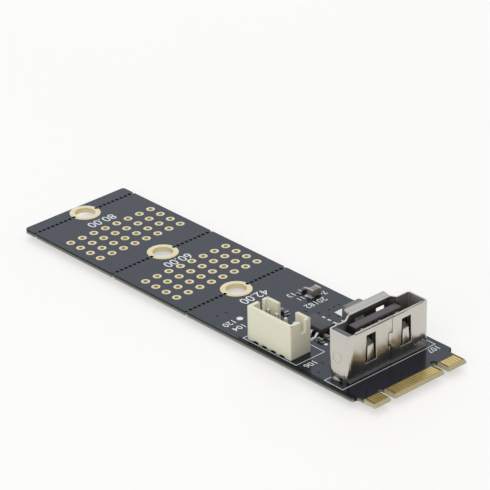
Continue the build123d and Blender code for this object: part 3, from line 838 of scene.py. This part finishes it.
def printed_line(points, name, width):
    """A printed stroke of even width along the points, with square corners."""
    bpy.ops.object.select_all(action="DESELECT")
    strokes = []
    for (x0, y0), (x1, y1) in zip(points[:-1], points[1:]):
        length = math.hypot(x1 - x0, y1 - y0) + width
        angle = math.atan2(y1 - y0, x1 - x0)
        bpy.ops.mesh.primitive_plane_add(size=1, location=(
            (x0 + x1) / 2 * mm,
            finger_edge + (y0 + y1) / 2 * mm,
            ink_height + len(strokes) * ink_step,
        ))
        stroke = bpy.context.object
        stroke.scale = (length * mm, width * mm, 1)
        stroke.rotation_euler = (0, 0, angle)
        bpy.ops.object.transform_apply(location=True, rotation=True, scale=True)
        strokes.append(stroke)
    dressed(joined(strokes), name, white_ink)


printed_text("80.00", "number_80", 0.1, 75.8, number_height)
printed_text("60.00", "number_60", -0.15, 56.1, number_height)
printed_text("42.00", "number_42", 0.3, 38.1, number_height)
printed_line(
    [(-4.11, 17.2), (-10.26, 17.2), (-10.26, 29.3), (-4.11, 29.3), (-4.11, 17.2)],
    "header_outline", outline_width,
)
printed_line(
    [(8.8, 10.8), (10.0, 10.8), (10.0, 6.85), (-10.35, 6.8), (-10.3, 10.85), (-8.8, 10.85)],
    "socket_outline", outline_width,
)
for text, x, y, height in (
    ("120", -8.6, 34.3, 1.25), ("104", -8.35, 32.3, 1.25), ("106", -8.35, 16.0, 1.2),
    ("13", 4.95, 34.3, 1.2), ("11", 5.25, 32.4, 1.1), ("20182", 6.0, 29.7, 1.3),
    ("15", 8.2, 34.1, 0.9), ("7", 9.4, 31.2, 1.2), ("107", 8.7, 5.95, 1.2),
):
    printed_text(text, f"mark_{text}", x, y, height, mark_stroke)

# Two filled dots, a patch and the triangle that points to the socket's first contact.
bpy.ops.object.select_all(action="DESELECT")
for x, y, radius, sides, name in (
    (-6.33, 34.3, 0.55, 24, "printed_dot_large"), (-2.31, 18.72, 0.3, 20, "printed_dot_small"),
    (6.6, 32.3, 0.42, 4, "printed_patch"),
):
    bpy.ops.mesh.primitive_circle_add(
        vertices=sides, radius=radius * mm, fill_type="NGON",
        location=(x * mm, finger_edge + y * mm, ink_height), rotation=(0, 0, math.radians(45)),
    )
    bpy.ops.object.transform_apply(location=True, rotation=True, scale=True)
    dressed(bpy.context.object, name, white_ink)
bpy.ops.object.select_all(action="DESELECT")
bpy.ops.mesh.primitive_circle_add(vertices=3, radius=1.0 * mm, fill_type="NGON")
triangle = bpy.context.object
for corner, (x, y) in zip(triangle.data.vertices, ((5.9, 25.25), (5.8, 23.4), (7.7, 25.3))):
    corner.co = (x * mm, finger_edge + y * mm, ink_height)
dressed(triangle, "printed_triangle", white_ink)


# Tented vias: small drilled and plated holes through the card. The solder mask closes over them, so
# that they show as dark dimples.
dimple = finished(
    "via_dimples", (0.004, 0.004, 0.006), (0.008, 0.008, 0.011), (0.5, 0.65),
    patch=900.0, grain=6000.0, depth=0.000002,
)
dimple.node_tree.nodes["Principled BSDF"].inputs["Specular IOR Level"].default_value = 0.1
via_radius = 0.2 * mm
via_height = board_top + 0.004 * mm
vias = []
for x, y in (
    (-6.51, 37.33), (-6.75, 14.89), (5.92, 26.58), (4.58, 25.1), (7.15, 26.62), (8.28, 26.59),
    (2.86, 28.7), (3.99, 26.82), (5.44, 23.85), (-8.4, 37.4), (-9.2, 13.2), (-3.2, 14.2),
):
    bpy.ops.mesh.primitive_circle_add(
        vertices=16, radius=via_radius, fill_type="NGON",
        location=(x * mm, finger_edge + y * mm, via_height),
    )
    vias.append(bpy.context.object)
dimples = joined(vias)
bpy.ops.object.transform_apply(location=True, rotation=True, scale=True)
dressed(dimples, "tented_vias", dimple)


# Tinned pads under the surface-mounted parts: copper with a skin of solder, each reaching a little
# past its lead or cap.
def rounded(piece, width, segments, smooth):
    """Rounds the edges of the active piece, and shades it smooth up to the angle in degrees."""
    bevel = piece.modifiers.new("edges", "BEVEL")
    bevel.width = width
    bevel.segments = segments
    bpy.ops.object.modifier_apply(modifier="edges")
    bpy.ops.object.shade_smooth_by_angle(angle=math.radians(smooth))


pads = []
pad_height = 0.04 * mm
lead_pitch = 1.27 * mm
lead_overlap = 0.35 * mm
leads_per_side = 4
chip_pad = (1.3, 0.6)
lead_low, lead_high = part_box("chip_leads")
rows = [
    (lead_low[1] + lead_high[1]) / 2 + (index - (leads_per_side - 1) / 2) * lead_pitch
    for index in range(leads_per_side)
]
places = [
    (edge - side * lead_overlap, row, *chip_pad)
    for side, edge in ((-1, lead_low[0]), (1, lead_high[0]))
    for row in rows
]
places += [(x * mm, finger_edge + y * mm, width, length) for x, y, width, length in (
    (6.8, 31.8, 0.75, 1.5), (8.6, 31.8, 0.75, 1.5), (6.4, 33.8, 0.55, 0.95),
    (7.8, 33.8, 0.55, 0.95), (0.05, 30.1, 0.95, 0.55), (0.05, 31.5, 0.95, 0.55),
    (-2.2, 19.65, 0.65, 0.5), (-2.2, 20.55, 0.65, 0.5), (-0.76, 19.65, 0.65, 0.5),
    (-0.76, 20.55, 0.65, 0.5), (5.35, 20.8, 1.3, 3.4), (8.65, 20.8, 1.3, 3.4),
)]
for x, y, width, length in places:
    bpy.ops.mesh.primitive_cube_add(size=1, location=(x, y, board_top + pad_height / 2))
    pad = bpy.context.object
    pad.scale = (width * mm, length * mm, pad_height)
    bpy.ops.object.transform_apply(location=True, rotation=True, scale=True)
    pads.append(pad)
tinned = joined(pads)
rounded(tinned, width=0.015 * mm, segments=2, smooth=35)
dressed(tinned, "tinned_pads", solder)


# Solder collars where the socket's legs enter the card, on the card's top, with a little amber
# flux left round them.
flux = finished(
    "amber_flux", (0.018, 0.012, 0.007), (0.055, 0.036, 0.018), (0.12, 0.3),
    patch=1400.0, grain=3000.0, depth=0.000006,
)
shell_low, shell_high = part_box("socket_shell")
half_sheet = 0.15 * mm
leg_place = finger_edge + 9.8 * mm
taper = 0.45
leg_form = (0.75, 1.5, 1)
for side, edge in (("left", shell_low[0] + half_sheet), ("right", shell_high[0] - half_sheet)):
    for label, material, slot, radius, height in (
        ("collar", dull_tin, "solder", 0.6, 0.42), ("flux", flux, "board", 0.85, 0.1),
    ):
        bpy.ops.mesh.primitive_cone_add(
            vertices=32, radius1=radius * mm, radius2=taper * radius * mm, depth=height * mm,
            location=(edge, leg_place, board_top + height / 2 * mm),
        )
        collar = bpy.context.object
        collar.scale = leg_form
        bpy.ops.object.transform_apply(location=True, rotation=True, scale=True)
        rounded(collar, width=0.05 * mm, segments=3, smooth=50)
        dressed(collar, f"leg_{label}_{side}", material)


# Burr on the rim of the shell's wide part, of the same nickel-plated sheet, left where the strip
# was cut off its carrier.
burr_place = (-6.85 * mm, finger_edge + 11.5 * mm, board_top + 8.25 * mm)
burr_size = (0.55 * mm, 0.34 * mm, 0.26 * mm)
bpy.ops.mesh.primitive_cube_add(size=1, location=burr_place)
burr = bpy.context.object
burr.scale = burr_size
bpy.ops.object.transform_apply(location=True, rotation=True, scale=True)
rounded(burr, width=0.08 * mm, segments=3, smooth=60)
dressed(burr, "carrier_burr", nickel)


# Press mark: a shallow ring on the shell's left end, which the punch leaves in the nickel-plated
# sheet.
mark_radius = 0.9 * mm
mark_ridge = 0.06 * mm
mark_place = (shell_low[0] + 0.01 * mm, finger_edge + 9.6 * mm, board_top + 4.0 * mm)
bpy.ops.mesh.primitive_torus_add(
    major_radius=mark_radius, minor_radius=mark_ridge, major_segments=48, minor_segments=8,
    location=mark_place, rotation=(0, math.radians(90), 0),
)
ring_mark = bpy.context.object
bpy.ops.object.transform_apply(location=True, rotation=True, scale=True)
bpy.ops.object.shade_smooth()
dressed(ring_mark, "press_mark", nickel)
